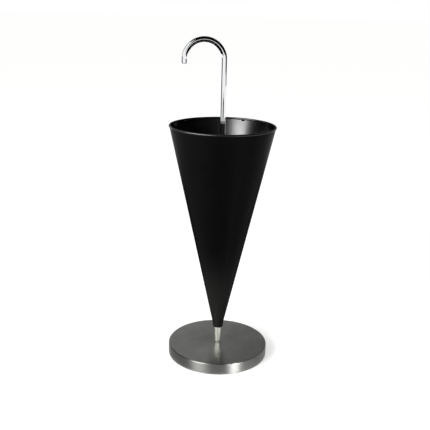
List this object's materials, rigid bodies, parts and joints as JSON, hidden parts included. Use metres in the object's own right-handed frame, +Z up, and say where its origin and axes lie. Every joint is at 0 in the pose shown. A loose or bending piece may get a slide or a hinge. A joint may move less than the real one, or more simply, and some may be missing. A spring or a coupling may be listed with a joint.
{
  "type": "umbrella stand",
  "caption": "Umbrella stand shaped like a closed umbrella: an open black steel cone on a turned tip and a weighted brushed-steel base, with a chromed crook handle.",
  "frame": {"origin": "on the floor, on the vertical axis of the base and the cone", "axes": "+Z up along the stand's axis; the crook bends over towards -X; the picture looks along +Y"},
  "size_m": [0.2498, 0.2498, 0.7764],
  "materials": {
    "brushed_steel": "stainless, brushed",
    "black_coat": "satin powder coat",
    "chrome": "polished chrome plate",
    "nickel": "turned, satin nickel plate",
    "zinc_steel": "bright zinc plate",
    "concrete": "cast concrete",
    "rubber": "matt moulded rubber"
  },
  "bodies": {
    "root": {"base_cover": "brushed_steel", "base_weight": "concrete", "foot_1": "rubber", "foot_2": "rubber", "foot_3": "rubber", "foot_4": "rubber", "clamp_washer": "zinc_steel", "spring_washer": "zinc_steel", "base_bolt": "zinc_steel", "tip": "nickel", "end_socket": "black_coat", "cone_shell": "black_coat", "rim_hoop": "black_coat", "seal_washer": "rubber", "flat_washer": "zinc_steel", "cone_nut": "zinc_steel", "stud": "zinc_steel", "handle_bush": "zinc_steel", "handle_tube": "chrome", "handle_plug": "chrome"}
  },
  "joints": []
}
